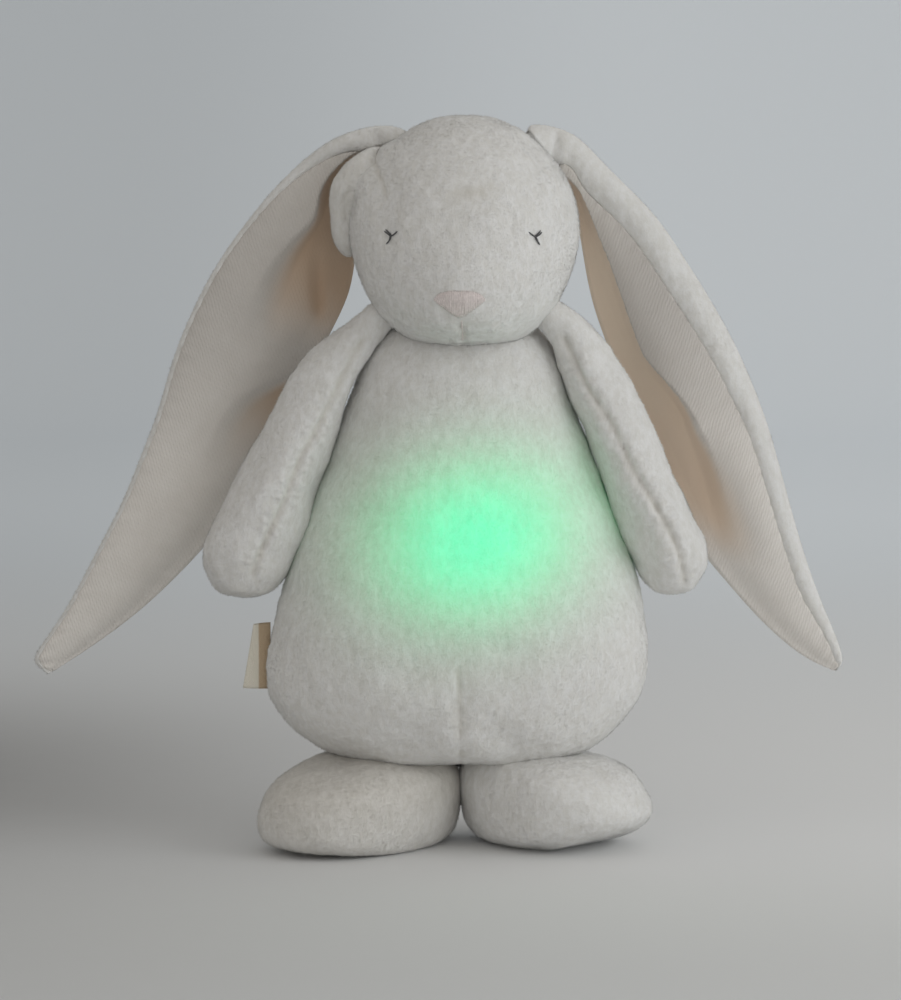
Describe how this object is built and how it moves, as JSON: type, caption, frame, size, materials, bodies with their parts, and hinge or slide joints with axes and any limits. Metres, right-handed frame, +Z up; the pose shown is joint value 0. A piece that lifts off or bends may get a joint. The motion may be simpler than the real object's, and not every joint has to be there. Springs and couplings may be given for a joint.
{
  "type": "plush night light",
  "caption": "Plush night light: a stuffed rabbit that stands on its feet, with long drooping ears and a light module in its belly behind a back flap.",
  "frame": {"origin": "on the ground under the middle of the toy's bounding box", "axes": "+Z up from the ground to the head, -Y to the front where the face looks, +X to the toy's own left"},
  "size_m": [0.3582, 0.1042, 0.3129],
  "materials": {
    "velour": "matte",
    "woven_lining": "matte",
    "grey_thread": "satin",
    "pink_thread": "satin",
    "ribbon": "matte",
    "pouch_cotton": "matte",
    "strip_nylon": "matte",
    "housing_plastic": "satin",
    "diffuser_plastic": "satin",
    "button_rubber": "matte",
    "circuit_board": "satin",
    "black_plastic": "matte",
    "led_resin": "gloss",
    "led_lit": "gloss",
    "steel": "satin",
    "battery_wrap": "satin",
    "foam": "matte",
    "lead_cover": "satin"
  },
  "bodies": {
    "toy": {"body": "velour", "head": "velour", "left_foot": "velour", "right_foot": "velour", "left_eye_stitch": "grey_thread", "right_eye_stitch": "grey_thread", "nose_stitch": "pink_thread", "mouth_stitch": "pink_thread", "body_loop_strip": "strip_nylon", "module_pouch": "pouch_cotton", "front_housing": "housing_plastic", "rear_housing": "housing_plastic", "housing_screw_1": "steel", "housing_screw_2": "steel", "housing_screw_3": "steel", "housing_screw_4": "steel", "light_diffuser": "diffuser_plastic", "light_board": "circuit_board", "led_green": "led_lit", "led_red": "led_resin", "led_blue": "led_resin", "led_white": "led_resin", "light_lead": "lead_cover", "main_board": "circuit_board", "control_chip": "black_plastic", "power_switch": "black_plastic", "colour_switch": "black_plastic", "brightness_switch": "black_plastic", "charging_socket": "steel", "charging_board": "circuit_board", "battery": "battery_wrap", "battery_pad": "foam", "battery_lead": "lead_cover", "battery_cover": "housing_plastic", "battery_cover_screw": "steel"},
    "left_arm": {"left_arm": "velour"},
    "right_arm": {"right_arm": "velour"},
    "left_ear": {"left_ear_back": "velour", "left_ear_lining": "woven_lining"},
    "right_ear": {"right_ear_back": "velour", "right_ear_lining": "woven_lining"},
    "flap": {"back_flap": "velour", "flap_hook_strip": "strip_nylon"},
    "tag": {"side_tag": "ribbon"},
    "power_button": {"power_button": "button_rubber"},
    "colour_button": {"colour_button": "button_rubber"},
    "brightness_button": {"brightness_button": "button_rubber"}
  },
  "joints": [
    {"name": "left_shoulder", "type": "hinge", "parent": "toy", "child": "left_arm", "pos_m": [0.04955, 0.0015, 0.2197], "axis": [0, -1, 0], "range_deg": [0, 75]},
    {"name": "right_shoulder", "type": "hinge", "parent": "toy", "child": "right_arm", "pos_m": [-0.03275, 0.0015, 0.2197], "axis": [0, 1, 0], "range_deg": [0, 75]},
    {"name": "left_ear_root", "type": "hinge", "parent": "toy", "child": "left_ear", "pos_m": [0.044, 0.0165, 0.31], "axis": [0, -1, 0], "range_deg": [0, 90]},
    {"name": "right_ear_root", "type": "hinge", "parent": "toy", "child": "right_ear", "pos_m": [-0.022, 0.0165, 0.31], "axis": [0, 1, 0], "range_deg": [0, 90]},
    {"name": "flap_hem", "type": "hinge", "parent": "toy", "child": "flap", "pos_m": [0.0084, 0.044, 0.171], "axis": [1, 0, 0], "range_deg": [0, 110]},
    {"name": "tag_seam", "type": "hinge", "parent": "toy", "child": "tag", "pos_m": [-0.07338, 0.00314, 0.07817], "axis": [0, 0, 1], "range_deg": [-40, 40]},
    {"name": "power_press", "type": "slide", "parent": "toy", "child": "power_button", "axis": [0, -1, 0], "range_m": [0, 0.0007], "stiffness_N_per_m": 2800},
    {"name": "colour_press", "type": "slide", "parent": "toy", "child": "colour_button", "axis": [0, -1, 0], "range_m": [0, 0.0007], "stiffness_N_per_m": 2800},
    {"name": "brightness_press", "type": "slide", "parent": "toy", "child": "brightness_button", "axis": [0, -1, 0], "range_m": [0, 0.0007], "stiffness_N_per_m": 2800}
  ]
}
